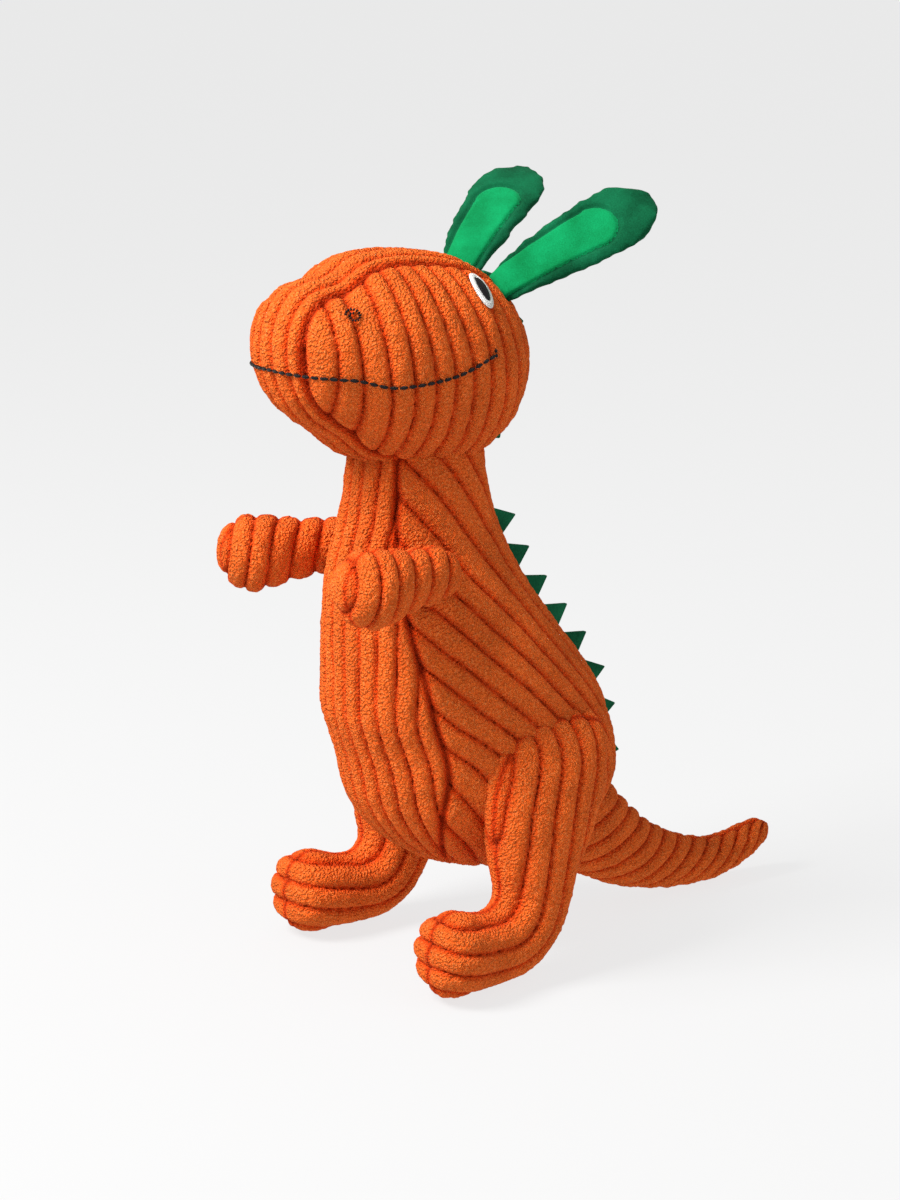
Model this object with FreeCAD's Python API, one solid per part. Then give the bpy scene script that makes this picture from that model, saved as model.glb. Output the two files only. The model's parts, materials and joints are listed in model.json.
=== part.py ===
"""Stuffed standing dinosaur with leaf-shaped ears, sewn from ribbed plush and filled with fibre.

Lengths are in millimetres. +Z is up, the toy faces -Y and its left side is +X. The origin lies on the floor
at the middle of the toy's footprint box. Each soft form is a tapered loft of ellipses along a short spine,
walled by sewn cover panels around a core of stuffing. Limbs, head, tail and ears turn on their own pivots.
"""

import FreeCAD, Part
import math
import os

V = FreeCAD.Vector
LEFT, RIGHT = 1, -1

# Fabric and clearances
COVER = 2.4            # plush cover with its pile
VELOUR = 1.2           # short-pile cover of the ears
FELT = 2.5             # spike felt
EMBROIDERY = 1.0       # height of satin stitch over the cover
GAP = 0.4              # clearance between pieces that move apart

# Body
BODY_BASE = 33.0       # underside above the floor
BODY_HEIGHT = 178.0    # underside to the foot of the head
BODY_WIDTH = 104.0
BODY_DEPTH = 120.0
BODY_Y = -61.0         # neck centre line
BODY_LEAN = 36.0       # how far the seat sits behind the neck
BELLY_ANGLE = 50.0     # each side of straight ahead, out to the belly panel's seams
SEAT_CAP = 0.25        # share of the height that rounds into the underside
#        height, width, depth, lean, as shares
BODY_FORM = [
    (0.00, 1.00, 1.00, 1.00),
    (0.26, 1.00, 1.05, 0.86),
    (0.39, 1.00, 1.05, 0.66),
    (0.51, 0.93, 0.94, 0.44),
    (0.64, 0.80, 0.79, 0.19),
    (0.76, 0.66, 0.67, 0.03),
    (0.88, 0.56, 0.55, 0.00),
    (1.00, 0.52, 0.50, 0.00),
]

# Neck and head
NECK_BALL = 29.0       # radius of the neck's dome
NECK_DROP = 17.0       # dome centre below the body's top
HEAD_LENGTH = 117.0
HEAD_WIDTH = 86.0
HEAD_HEIGHT = 88.0
HEAD_RISE = 51.5       # head's middle above the neck's dome centre
HEAD_REACH = 11.0      # head's middle ahead of the neck
GUSSET_WIDTH = 32.0    # strip from under the chin, over the nose and crown, to the nape
SNOUT_CAP = 0.16
NAPE_CAP = 0.40
#        length from the snout, width, height, and lift of the centre, as shares
HEAD_FORM = [
    (0.00, 0.70, 0.60, 0.105),
    (0.19, 0.79, 0.71, 0.062),
    (0.25, 0.88, 0.80, 0.040),
    (0.31, 0.95, 0.93, 0.038),
    (0.50, 1.00, 1.00, 0.014),
    (0.66, 1.00, 1.00, -0.010),
    (1.00, 0.95, 1.02, -0.035),
]

# Face
EYE_HEIGHT = 17.0
EYE_WIDTH = 8.4
PUPIL_HEIGHT = 12.6
PUPIL_WIDTH = 4.8
EYE_BACK = 0.685       # share of the head's length from the snout
EYE_UP = 0.72          # share of the head's half-height above its middle
NOSTRIL = 6.2          # outside of the nostril's thread loop
THREAD = 1.4           # width of the stitched lines
NOSTRIL_BACK = 0.185
NOSTRIL_UP = 0.60
MOUTH_BACK = 0.69      # corner of the mouth, share of the head's length
MOUTH_TIP_UP = 0.02    # heights of the smile at its tip, its dip and its corner, as shares
MOUTH_DIP_UP = -0.09
MOUTH_CORNER_UP = 0.12

# Ears
EAR_LENGTH = 69.0
EAR_WIDTH = 34.0
EAR_THICKNESS = 8.0
EAR_ROOT_WIDTH = 17.0
EAR_BEAD = 4.6         # radius of the rolled root
EAR_INNER_SHARE = 0.74 # length of the light inner panel
EAR_SIDE = 15.5        # root off the middle
EAR_BACK = 0.86        # root along the head, from the snout
EAR_OUT = {LEFT: 0.42, RIGHT: 0.30}  # ear directions outward and up, the rest being back
EAR_UP = {LEFT: 0.50, RIGHT: 0.60}
EAR_FACE = {LEFT: V(0.50, -0.55, 0.68), RIGHT: V(0.30, -0.45, 0.80)}
#        length and width, as shares
EAR_FORM = [(0.00, 0.50), (0.10, 0.54), (0.30, 0.68), (0.50, 0.86), (0.72, 1.00), (1.00, 0.96)]
EAR_CAP = 0.28

# Arms
ARM_LENGTH = 62.0
ARM_RADIUS = 17.2
ARM_HEIGHT = 0.76      # share of the body's height
ARM_SPLAY = 11.0       # degrees outward from straight ahead
ARM_ROOT_Y = 10.0      # root's end ahead of the body's middle
ARM_ROOT_SINK = 2.0    # root's middle inside the body's surface
SLEEVE_CLEAR = 1.5     # arm's flat side over the body's tangent plane
#        length and radius, as shares
ARM_FORM = [(0.00, 0.74), (0.35, 0.76), (0.60, 0.90), (0.80, 1.00), (1.00, 0.94)]
ARM_CAP = 0.20

# Legs
HIP_HEIGHT = 80.0
HIP_BACK = 25.0        # hip behind the neck line
LEG_INSET = 19.0       # flat inner side of the haunch, inside the body's widest point
LEG_WIDTH = 36.0
LEG_DEPTH = 54.0
LEG_SWING = 20.0       # degrees each way
FOOT_TURN = 4.5        # how far the toe stands outside the hip
HIP_DISC = 0.82        # radius of the haunch's turning space, share of the leg's depth
#        behind the hip, height, half-width, half-depth, turn of the section, outward, as shares or degrees;
#        heights above the hip are shares of the leg's depth, those below it shares of the hip's height
LEG_FORM = [
    (0.22, 1.52, 0.20, 0.40, 0, -2.40),
    (0.22, 1.46, 0.48, 0.74, 0, -2.00),
    (0.21, 1.32, 0.80, 1.02, 0, -1.10),
    (0.14, 1.04, 1.00, 1.12, 0, -0.50),
    (0.05, 0.80, 1.02, 1.02, 0, 0.00),
    (0.00, 0.60, 0.96, 0.82, 0, 0.15),
    (-0.04, 0.43, 0.90, 0.68, -10, 0.20),
    (-0.13, 0.30, 0.89, 0.64, -40, 0.25),
    (-0.33, 0.215, 0.90, 0.62, -75, 0.35),
    (-0.57, 0.215, 0.96, 0.63, -92, 0.55),
    (-0.80, 0.235, 1.06, 0.70, -97, 0.90),
    (-0.94, 0.25, 0.98, 0.66, -97, 1.05),
    (-1.02, 0.262, 0.70, 0.46, -97, 1.10),
    (-1.05, 0.265, 0.30, 0.20, -97, 1.10),
]

# Tail
TAIL_BALL = 23.0
TAIL_ROOT_HEIGHT = 54.0
TAIL_SINK = 18.0       # ball's middle inside the body's back
TAIL_LENGTH = 123.0    # ball's middle to the tip, measured along the floor
TAIL_CLEAR = 1.8       # space around the ball, for the tail to wag in
#        along, height of the spine, radius across, radius through, turn of the section
TAIL_FORM = [
    (0.07, 0.88, 0.90, 1.00, 34),
    (0.19, 0.66, 0.82, 0.90, 50),
    (0.36, 0.42, 0.70, 0.74, 66),
    (0.54, 0.28, 0.585, 0.585, 80),
    (0.71, 0.217, 0.48, 0.48, 91),
    (0.85, 0.26, 0.413, 0.413, 104),
    (0.94, 0.34, 0.348, 0.348, 110),
    (1.00, 0.40, 0.17, 0.17, 112),
]

# Spikes
SPIKE_RISE = 11.0      # over the cover, down the back
HEAD_SPIKE_RISE = 7.0
SPIKE_BASE = 15.0
SPIKE_PITCH = 17.0
SPIKE_TIP_DROP = 3.0   # tips lean down the back
HEAD_SPIKES = 4
BACK_SPIKES = 8
HEAD_SPIKE_START = 62.0 # degrees back from straight up, about the head's middle
BACK_SPIKE_TOP = 0.80   # first back spike, share of the body's height

# Squeaker in the belly
SQUEAKER_RADIUS = 19.0
SQUEAKER_LENGTH = 34.0
SQUEAKER_WALL = 1.4
REED_RADIUS = 6.0
REED_THICKNESS = 5.0
SQUEAKER_HEIGHT = 0.36  # share of the body's height

# Drawing of the lofts
RING_POINTS = 16
STATIONS = 15
BIG = 1200.0


# ---------- shared shape functions ----------

def smooth(table, t):
    """Values of a table's columns at t, along curves that never overshoot its rows."""
    rows = [r for r in table]
    k = max(i for i in range(len(rows) - 1) if rows[i][0] <= t + 1e-9)
    steps = [rows[i + 1][0] - rows[i][0] for i in range(len(rows) - 1)]
    values = []
    for c in range(1, len(rows[0])):
        slopes = [(rows[i + 1][c] - rows[i][c]) / steps[i] for i in range(len(steps))]
        tangents = [slopes[0]]
        for i in range(1, len(slopes)):
            a, b = slopes[i - 1], slopes[i]
            tangents.append(2 * a * b / (a + b) if a * b > 0 else 0.0)
        tangents.append(slopes[-1])
        h = steps[k]
        u = (t - rows[k][0]) / h
        values.append(
            rows[k][c] * (2 * u**3 - 3 * u**2 + 1)
            + tangents[k] * h * (u**3 - 2 * u**2 + u)
            + rows[k + 1][c] * (3 * u**2 - 2 * u**3)
            + tangents[k + 1] * h * (u**3 - u**2)
        )
    return values


def cap(t, start, end):
    """Share of the full radius at t where a form rounds off over its first and last shares."""
    share = 1.0
    if start and t < start:
        share *= math.sqrt(max(0.0, 1 - (1 - t / start) ** 2))
    if end and 1 - t < end:
        share *= math.sqrt(max(0.0, 1 - (1 - (1 - t) / end) ** 2))
    return share


def ring(centre, across, along, a, b):
    """An elliptical wire with half-sizes a along the direction across and b along the direction along."""
    points = []
    for i in range(RING_POINTS):
        turn = 2 * math.pi * i / RING_POINTS
        points.append(centre + across * (a * math.cos(turn)) + along * (b * math.sin(turn)))
    curve = Part.BSplineCurve()
    curve.interpolate(points, PeriodicFlag=True)
    return Part.Wire([curve.toShape()])


def loft(sections):
    """A closed solid through elliptical sections, each (centre, across, along, a, b)."""
    return Part.makeLoft([ring(*s) for s in sections], True, True)


def shrunk(sections, wall):
    """The same sections drawn in by a wall, without the ends that are too small to hold one."""
    kept = []
    for centre, across, along, a, b in sections:
        if min(a, b) > 2 * wall:
            kept.append((centre, across, along, a - wall, b - wall))
    return kept


def stations(start_cap=True, end_cap=True):
    """Shares from 0 to 1 that crowd together where an end is rounded."""
    shares = []
    for i in range(STATIONS):
        u = i / (STATIONS - 1)
        if start_cap and end_cap:
            shares.append(0.5 - 0.5 * math.cos(math.pi * u))
        elif start_cap:
            shares.append(1 - math.cos(math.pi * u / 2))
        elif end_cap:
            shares.append(math.sin(math.pi * u / 2))
        else:
            shares.append(u)
    return shares


def half_space(point, normal):
    """A big block on the side of a plane that its normal points to."""
    block = Part.makeBox(BIG, BIG, BIG, V(-BIG / 2, -BIG / 2, 0))
    block.Placement = FreeCAD.Placement(point, FreeCAD.Rotation(V(0, 0, 1), normal))
    return block


def side_half(side, inner=0.0):
    """Everything beyond a distance from the middle plane, on one side."""
    return half_space(V(side * inner, 0, 0), V(side, 0, 0))


def save(name, shape):
    """Writes one named sub-part as its own STEP file."""
    solids = [s for s in shape.Solids if s.Volume > 0.5]
    made = solids[0] if len(solids) == 1 else Part.makeCompound(solids)
    made.exportStep(os.path.join("parts", name + ".step"))
    print(f"{name:22s} solids {len(solids)} volume {made.Volume:10.1f} valid {made.isValid()}")


# ---------- body ----------

def body_section(t):
    """Centre and half-sizes of the body at a share of its height, its underside left unrounded."""
    width, depth, lean = smooth(BODY_FORM, t)
    centre = V(0, BODY_Y + BODY_LEAN * lean, BODY_BASE + BODY_HEIGHT * t)
    return centre, BODY_WIDTH / 2 * width, BODY_DEPTH / 2 * depth


def body_sections():
    rows = []
    for t in stations(end_cap=False):
        t = max(t, 0.006)
        centre, a, b = body_section(t)
        share = cap(t, SEAT_CAP, 0)
        rows.append((centre, V(1, 0, 0), V(0, 1, 0), a * share, b * share))
    return rows


def neck_centre():
    return V(0, BODY_Y, BODY_BASE + BODY_HEIGHT - NECK_DROP)


def neck_trim(radius):
    """What is cut off above the neck so that it ends in a dome."""
    centre = neck_centre()
    return half_space(centre, V(0, 0, 1)).cut(Part.makeSphere(radius, centre))


def belly_wedge():
    """The space in front of the body between the belly panel's two seams."""
    low = body_section(0.0)[0] + V(0, 0, -2 * COVER)
    high = body_section(1.0)[0] + V(0, 0, 2 * COVER)
    reach = BODY_DEPTH
    spread = reach * math.tan(math.radians(BELLY_ANGLE))
    wires = []
    for apex in (low, high):
        corners = [apex, apex + V(spread, -reach, 0), apex + V(-spread, -reach, 0), apex]
        wires.append(Part.makePolygon(corners))
    return Part.makeLoft(wires, True, True)


# ---------- head ----------

def head_middle():
    return neck_centre() + V(0, -HEAD_REACH, HEAD_RISE)


def head_section(t, grow=0.0):
    """Centre and half-sizes of the head at a share of its length from the snout."""
    width, height, lift = smooth(HEAD_FORM, t)
    share = cap(t, SNOUT_CAP, NAPE_CAP)
    middle = head_middle()
    centre = V(0, middle.y + HEAD_LENGTH * (t - 0.5), middle.z + HEAD_HEIGHT * lift)
    return centre, HEAD_WIDTH / 2 * width * share + grow, HEAD_HEIGHT / 2 * height * share + grow


def head_sections(grow=0.0):
    rows = []
    ends = (0.006, 0.99)
    for t in stations():
        t = min(max(t, ends[0]), ends[1])
        centre, a, b = head_section(t, grow)
        if t in ends:
            centre = centre + V(0, math.copysign(grow, t - 0.5), 0)
        rows.append((centre, V(1, 0, 0), V(0, 0, 1), a, b))
    return rows


def head_side_point(side, back, up):
    """A point on the head's side at shares of its length and half-height, and the outward normal there."""
    centre, a, b = head_section(back)
    x = a * math.sqrt(1 - up**2)
    ahead, a2, _ = head_section(back - 0.03)
    slope = (a - a2) / (0.03 * HEAD_LENGTH)
    normal = V(side * x / a**2, 0, b * up / b**2)
    normal.normalize()
    normal = normal + V(0, -slope, 0)
    normal.normalize()
    return centre + V(side * x, 0, b * up), normal


# ---------- limbs ----------

def arm_root(side):
    """Where an arm's flat side lies against the body: the surface point and the body's normal there."""
    centre, a, b = body_section(ARM_HEIGHT)
    below, a2, _ = body_section(ARM_HEIGHT - 0.08)
    y = -ARM_ROOT_Y
    x = a * math.sqrt(1 - (y / b) ** 2)
    slope = (a2 - a) / (0.08 * BODY_HEIGHT)
    normal = V(side * x / a**2, y / b**2, 0)
    normal.normalize()
    normal = normal + V(0, 0, slope)
    normal.normalize()
    return centre + V(side * x, y, 0), normal


def arm_sections(side):
    point, normal = arm_root(side)
    splay = math.radians(ARM_SPLAY)
    ahead = V(side * math.sin(splay), -math.cos(splay), 0)
    across = V(math.cos(splay), side * math.sin(splay), 0)
    start = point - normal * ARM_ROOT_SINK - ahead * ARM_ROOT_Y * 0.4
    rows = []
    for t in stations():
        t = min(max(t, 0.008), 0.992)
        radius = smooth(ARM_FORM, t)[0] * ARM_RADIUS * cap(t, ARM_CAP, ARM_CAP)
        rows.append((start + ahead * (ARM_LENGTH * t), across, V(0, 0, 1), radius, radius))
    return rows


def hip_plane():
    """Distance from the middle to the flat inner side of a haunch."""
    return BODY_WIDTH / 2 - LEG_INSET


def hip_centre(side):
    return V(side * hip_plane(), BODY_Y + HIP_BACK, HIP_HEIGHT)


def leg_sections(side):
    hip = hip_centre(side)
    middle = side * (hip_plane() + LEG_WIDTH / 2 * 0.66)
    rows = []
    for back, up, width, depth, turn, out in LEG_FORM:
        angle = math.radians(turn)
        along = V(0, math.cos(angle), math.sin(angle))
        height = up * HIP_HEIGHT if up < 1 else HIP_HEIGHT + (up - 1) * LEG_DEPTH
        centre = V(middle + side * FOOT_TURN * out, hip.y + back * LEG_DEPTH, height)
        rows.append((centre, V(1, 0, 0), along, LEG_WIDTH / 2 * width, LEG_DEPTH / 2 * depth))
    return rows


def leg_clearance(side):
    """The space in the body's flank that the haunch and shin turn in."""
    hip = hip_centre(side)
    low = V(side * (hip_plane() - GAP), hip.y, hip.z)
    pocket = Part.makeCylinder(HIP_DISC * LEG_DEPTH + GAP, BODY_WIDTH, low, V(side, 0, 0))
    half = math.radians(LEG_SWING) + math.atan2(LEG_DEPTH / 2, HIP_HEIGHT / 2)
    reach = 2 * HIP_HEIGHT
    fan = [low, low + V(0, -reach * math.sin(half), -reach * math.cos(half)),
           low + V(0, reach * math.sin(half), -reach * math.cos(half)), low]
    sector = Part.Face(Part.makePolygon(fan)).extrude(V(side * BODY_WIDTH, 0, 0))
    return pocket.fuse(sector)


def tail_root():
    t = (TAIL_ROOT_HEIGHT - BODY_BASE) / BODY_HEIGHT
    centre, _, b = body_section(t)
    surface = centre.y + b * cap(t, SEAT_CAP, 0)
    return V(0, surface - TAIL_SINK, TAIL_ROOT_HEIGHT)


def tail_sections():
    root = tail_root()
    rows = []
    for out, up, across, through, turn in TAIL_FORM:
        angle = math.radians(turn)
        along = V(0, math.cos(angle), math.sin(angle))
        centre = V(0, root.y + TAIL_LENGTH * out, TAIL_ROOT_HEIGHT * up)
        rows.append((centre, V(1, 0, 0), along, TAIL_BALL * across, TAIL_BALL * through))
    return rows


# ---------- ears ----------

def ear_frame(side):
    """Root point and the directions along the ear, across it and out of its face."""
    centre, a, b = head_section(EAR_BACK)
    up = b * math.sqrt(1 - (EAR_SIDE / a) ** 2)
    root = centre + V(side * EAR_SIDE, 0, up)
    out, rise = EAR_OUT[side], EAR_UP[side]
    along = V(side * out, math.sqrt(1 - out**2 - rise**2), rise)
    face = V(EAR_FACE[side].x, EAR_FACE[side].y, EAR_FACE[side].z)
    face = face - along * face.dot(along)
    face.normalize()
    return root, along, along.cross(face), face


def ear_outline(side, wall=0.0):
    """The leaf-shaped face of an ear, standing on its root and drawn in by a wall."""
    root, along, across, face = ear_frame(side)
    shares = [i / 12 for i in range(12)] + [0.97, 0.995]
    edge = []
    for t in shares:
        width = EAR_WIDTH / 2 * smooth(EAR_FORM, t)[0] * cap(t, 0, EAR_CAP) - wall
        edge.append((max(width, 0.5), (EAR_LENGTH - wall) * t))
    points = [root + across * w + along * h for w, h in edge]
    points += [root - across * w + along * h for w, h in reversed(edge)]
    curve = Part.BSplineCurve()
    curve.interpolate(points)
    foot = Part.LineSegment(points[-1], points[0]).toShape()
    return Part.Face(Part.Wire([curve.toShape(), foot]))


def ear_bead(side, grow=0.0):
    """The rolled root that the ear turns on."""
    root, along, across, face = ear_frame(side)
    length = EAR_ROOT_WIDTH + 2 * grow
    return Part.makeCylinder(EAR_BEAD + grow, length, root - across * (length / 2), across)


def ear_tongue(side):
    """The tongue-shaped face of the light inner panel."""
    root, along, across, face = ear_frame(side)
    length = EAR_LENGTH * EAR_INNER_SHARE - EAR_BEAD
    foot, belly = EAR_ROOT_WIDTH * 0.28, EAR_WIDTH * 0.27
    start = root + along * EAR_BEAD
    shoulder = start + along * (length - belly)
    lines = [
        Part.LineSegment(start - across * foot, shoulder - across * belly),
        Part.Arc(shoulder - across * belly, shoulder + along * belly, shoulder + across * belly),
        Part.LineSegment(shoulder + across * belly, start + across * foot),
        Part.LineSegment(start + across * foot, start - across * foot),
    ]
    return Part.Face(Part.Wire([line.toShape() for line in lines]))


# ---------- spikes ----------

def spike(base, along, outward, sink, rise):
    """A felt triangle standing on the middle plane, its tab reaching into the seam."""
    half = SPIKE_BASE / 2
    tab = half * 0.8
    corners = [
        base - along * tab - outward * sink,
        base - along * half,
        base + along * SPIKE_TIP_DROP + outward * rise,
        base + along * half,
        base + along * tab - outward * sink,
    ]
    face = Part.Face(Part.makePolygon(corners + corners[:1]))
    face.translate(V(-FELT / 2, 0, 0))
    return face.extrude(V(FELT, 0, 0))


def back_outline(t):
    """A point on the middle of the back at a share of the body's height."""
    centre, _, b = body_section(t)
    return centre + V(0, b * cap(t, SEAT_CAP, 0), 0)


def back_spikes():
    made = []
    t = BACK_SPIKE_TOP
    for _ in range(BACK_SPIKES):
        here, lower = back_outline(t), back_outline(t - 0.02)
        along = lower - here
        step = along.Length
        along.normalize()
        outward = V(0, -along.z, along.y)
        made.append(spike(here, along, outward, COVER, SPIKE_RISE))
        t -= 0.02 * SPIKE_PITCH / step
    return made


def head_outline(angle):
    """A point on the head's middle line, found from the angle back from straight up about its middle."""
    middle = head_middle()
    best = None
    for i in range(400):
        t = 0.5 + 0.5 * i / 400
        centre, _, b = head_section(t)
        for sign in (1, -1):
            point = centre + V(0, 0, sign * b)
            seen = math.degrees(math.atan2(point.y - middle.y, point.z - middle.z))
            if best is None or abs(seen - angle) < best[0]:
                best = (abs(seen - angle), point)
    return best[1]


def head_spikes():
    made = []
    angle = HEAD_SPIKE_START
    for _ in range(HEAD_SPIKES):
        here, lower = head_outline(angle), head_outline(angle + 4)
        along = lower - here
        step = along.Length
        along.normalize()
        outward = V(0, -along.z, along.y)
        made.append(spike(here, along, outward, COVER, HEAD_SPIKE_RISE))
        angle += 4 * SPIKE_PITCH / step
    return made


# ---------- building each sub-assembly ----------

def build_body():
    """Left and right side panels, belly panel, stuffing, squeaker and the row of spikes down the back."""
    sections = body_sections()
    outside, inside = loft(sections), loft(shrunk(sections, COVER))
    outer = outside.cut(neck_trim(NECK_BALL))
    core = inside.cut(neck_trim(NECK_BALL - COVER))
    tail_socket = Part.makeSphere(TAIL_BALL + TAIL_CLEAR, tail_root())
    pockets = [tail_socket] + [leg_clearance(side) for side in (LEFT, RIGHT)]
    lined = [Part.makeSphere(TAIL_BALL + TAIL_CLEAR + COVER, tail_root())]
    for side in (LEFT, RIGHT):
        lining = leg_clearance(side)
        lining.translate(V(-side * COVER, 0, 0))
        lined.append(lining.fuse(leg_clearance(side)))
    for pocket in pockets:
        outer = outer.cut(pocket)
    for lining in lined:
        core = core.cut(lining)
    shell = outer.cut(core)
    spikes = back_spikes()
    for piece in spikes:
        shell = shell.cut(piece)
        core = core.cut(piece)
    belly = belly_wedge()
    save("belly_panel", shell.common(belly))
    sides = shell.cut(belly)
    save("body_side_left", sides.common(side_half(LEFT)))
    save("body_side_right", sides.common(side_half(RIGHT)))
    centre, _, _ = body_section(SQUEAKER_HEIGHT)
    start = centre - V(0, 0, SQUEAKER_LENGTH / 2)
    bulb_out = Part.makeCylinder(SQUEAKER_RADIUS, SQUEAKER_LENGTH, start)
    bulb_out = bulb_out.makeFillet(SQUEAKER_RADIUS * 0.35, bulb_out.Edges)
    wall = SQUEAKER_WALL
    bulb_in = Part.makeCylinder(SQUEAKER_RADIUS - wall, SQUEAKER_LENGTH - 2 * wall, start + V(0, 0, wall))
    bulb_in = bulb_in.makeFillet(SQUEAKER_RADIUS * 0.35 - wall, bulb_in.Edges)
    reed_start = start + V(0, 0, SQUEAKER_LENGTH - wall)
    reed_seat = Part.makeCylinder(REED_RADIUS, REED_THICKNESS, reed_start)
    reed_hole = Part.makeCylinder(REED_RADIUS * 0.3, REED_THICKNESS, reed_start)
    save("squeaker_bulb", bulb_out.cut(bulb_in).cut(reed_seat))
    save("squeaker_reed", reed_seat.cut(reed_hole))
    save("body_stuffing", core.cut(bulb_out).cut(reed_seat))
    for number, piece in enumerate(spikes, 1):
        save(f"back_spike_{number}", piece)


def face_piece(side, back, up, half_long, half_wide, shell, hole=None):
    """An oval of stitching lying on the head's side, with an optional smaller oval left open in it."""
    point, normal = head_side_point(side, back, up)
    upward = V(0, 0, 1) - normal * normal.z
    upward.normalize()
    across = normal.cross(upward)
    base = point - normal * (4 * EMBROIDERY)

    def oval(long, wide):
        return Part.Face(ring(base, across, upward, wide, long)).extrude(normal * (8 * EMBROIDERY))

    piece = oval(half_long, half_wide)
    if hole:
        piece = piece.cut(oval(*hole))
    return shell.common(piece)


def mouth_band():
    """A thin band across the head that follows the smile in side view."""
    tip, tip_a, tip_b = head_section(0.0)
    dip, _, dip_b = head_section(MOUTH_BACK * 0.55)
    corner, _, corner_b = head_section(MOUTH_BACK)
    points = [
        V(0, tip.y - 4 * EMBROIDERY, tip.z + HEAD_HEIGHT / 2 * (MOUTH_TIP_UP - 0.16)),
        V(0, dip.y, dip.z + HEAD_HEIGHT / 2 * MOUTH_DIP_UP),
        V(0, corner.y, corner.z + HEAD_HEIGHT / 2 * MOUTH_CORNER_UP),
    ]
    lines = []
    for shift in (-THREAD / 2, THREAD / 2):
        curve = Part.BSplineCurve()
        curve.interpolate([p + V(-HEAD_WIDTH, 0, shift) for p in points])
        lines.append(curve.toShape())
    ends = [
        Part.LineSegment(points[i] + V(-HEAD_WIDTH, 0, -THREAD / 2),
                         points[i] + V(-HEAD_WIDTH, 0, THREAD / 2)).toShape()
        for i in (0, 2)
    ]
    outline = Part.Wire(Part.__sortEdges__(lines + ends))
    return Part.Face(outline).extrude(V(2 * HEAD_WIDTH, 0, 0))


def build_head():
    """Side panels, centre gusset, stuffing, embroidered face and the spikes down the nape."""
    sections = head_sections()
    outer_solid, core = loft(sections), loft(shrunk(sections, COVER))
    raised = loft(head_sections(EMBROIDERY)).cut(outer_solid)
    centre = neck_centre()
    outer = outer_solid.cut(Part.makeSphere(NECK_BALL + GAP, centre))
    core = core.cut(Part.makeSphere(NECK_BALL + GAP + COVER, centre))
    shell = outer.cut(core)
    spikes = head_spikes()
    for cutter in spikes + [ear_bead(side, GAP) for side in (LEFT, RIGHT)]:
        shell = shell.cut(cutter)
        core = core.cut(cutter)
    half = GUSSET_WIDTH / 2
    strip = Part.makeBox(GUSSET_WIDTH, BIG, BIG, V(-half, -BIG / 2, 0))
    save("head_gusset", shell.common(strip))
    save("head_side_left", shell.common(side_half(LEFT, half)))
    save("head_side_right", shell.common(side_half(RIGHT, half)))
    save("head_stuffing", core)
    for side, word in ((LEFT, "left"), (RIGHT, "right")):
        pupil = (PUPIL_HEIGHT / 2, PUPIL_WIDTH / 2)
        white = face_piece(side, EYE_BACK, EYE_UP, EYE_HEIGHT / 2, EYE_WIDTH / 2, raised, pupil)
        save(f"eye_white_{word}", white)
        save(f"eye_pupil_{word}", face_piece(side, EYE_BACK, EYE_UP, *pupil, raised))
        loop = NOSTRIL / 2
        hole = (loop - THREAD, loop - THREAD)
        save(f"nostril_{word}", face_piece(side, NOSTRIL_BACK, NOSTRIL_UP, loop, loop, raised, hole))
    save("mouth_stitching", raised.common(mouth_band()))
    for number, piece in enumerate(spikes, 1):
        save(f"head_spike_{number}", piece)


def build_ear(side, word):
    """Velour back, velour rim, light inner panel and batting, on a rolled root."""
    root, along, across, face = ear_frame(side)
    half = EAR_THICKNESS / 2
    bead = ear_bead(side)
    leaf = ear_outline(side)
    behind, ahead = leaf.copy(), leaf.copy()
    behind.translate(-face * half)
    batting = ear_outline(side, VELOUR)
    batting.translate(-face * (half - VELOUR))
    batting = batting.extrude(face * (EAR_THICKNESS - 2 * VELOUR)).cut(bead)
    tongue = ear_tongue(side)
    tongue.translate(face * (half - VELOUR))
    tongue = tongue.extrude(face * VELOUR)
    back = behind.extrude(face * half).cut(bead).fuse(bead).cut(batting)
    rim = ahead.extrude(face * half).cut(bead).cut(batting).cut(tongue)
    save(f"ear_back_{word}", back)
    save(f"ear_rim_{word}", rim)
    save(f"ear_inner_{word}", tongue.cut(bead))
    save(f"ear_batting_{word}", batting)


def build_arm(side, word):
    """Inner and outer cover panels around a core, cut flat where the arm is sewn to the chest."""
    sections = arm_sections(side)
    point, normal = arm_root(side)
    keep_out = half_space(point + normal * SLEEVE_CLEAR, normal)
    keep_in = half_space(point + normal * (SLEEVE_CLEAR + COVER), normal)
    outer = loft(sections).common(keep_out)
    core = loft(shrunk(sections, COVER)).common(keep_in)
    shell = outer.cut(core)
    seam = half_space(sections[0][0], sections[0][1] * side)
    save(f"arm_outer_{word}", shell.common(seam))
    save(f"arm_inner_{word}", shell.cut(seam))
    save(f"arm_stuffing_{word}", core)


def build_leg(side, word):
    """Inner and outer cover panels around a core, flat where the haunch turns against the body."""
    sections = leg_sections(side)
    solid, core = loft(sections), loft(shrunk(sections, COVER))
    above = Part.makeBox(BIG, BIG, BIG, V(-BIG / 2, -BIG / 2, BODY_BASE + GAP))
    flat = side_half(-side, -hip_plane()).common(above)
    flat_in = side_half(-side, -hip_plane() - COVER).common(above)
    outer, core = solid.cut(flat), core.cut(flat_in)
    shell = outer.cut(core)
    seam = half_space(V(sections[3][0].x, 0, 0), V(side, 0, 0))
    save(f"leg_outer_{word}", shell.common(seam))
    save(f"leg_inner_{word}", shell.cut(seam))
    save(f"leg_stuffing_{word}", core)


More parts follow.
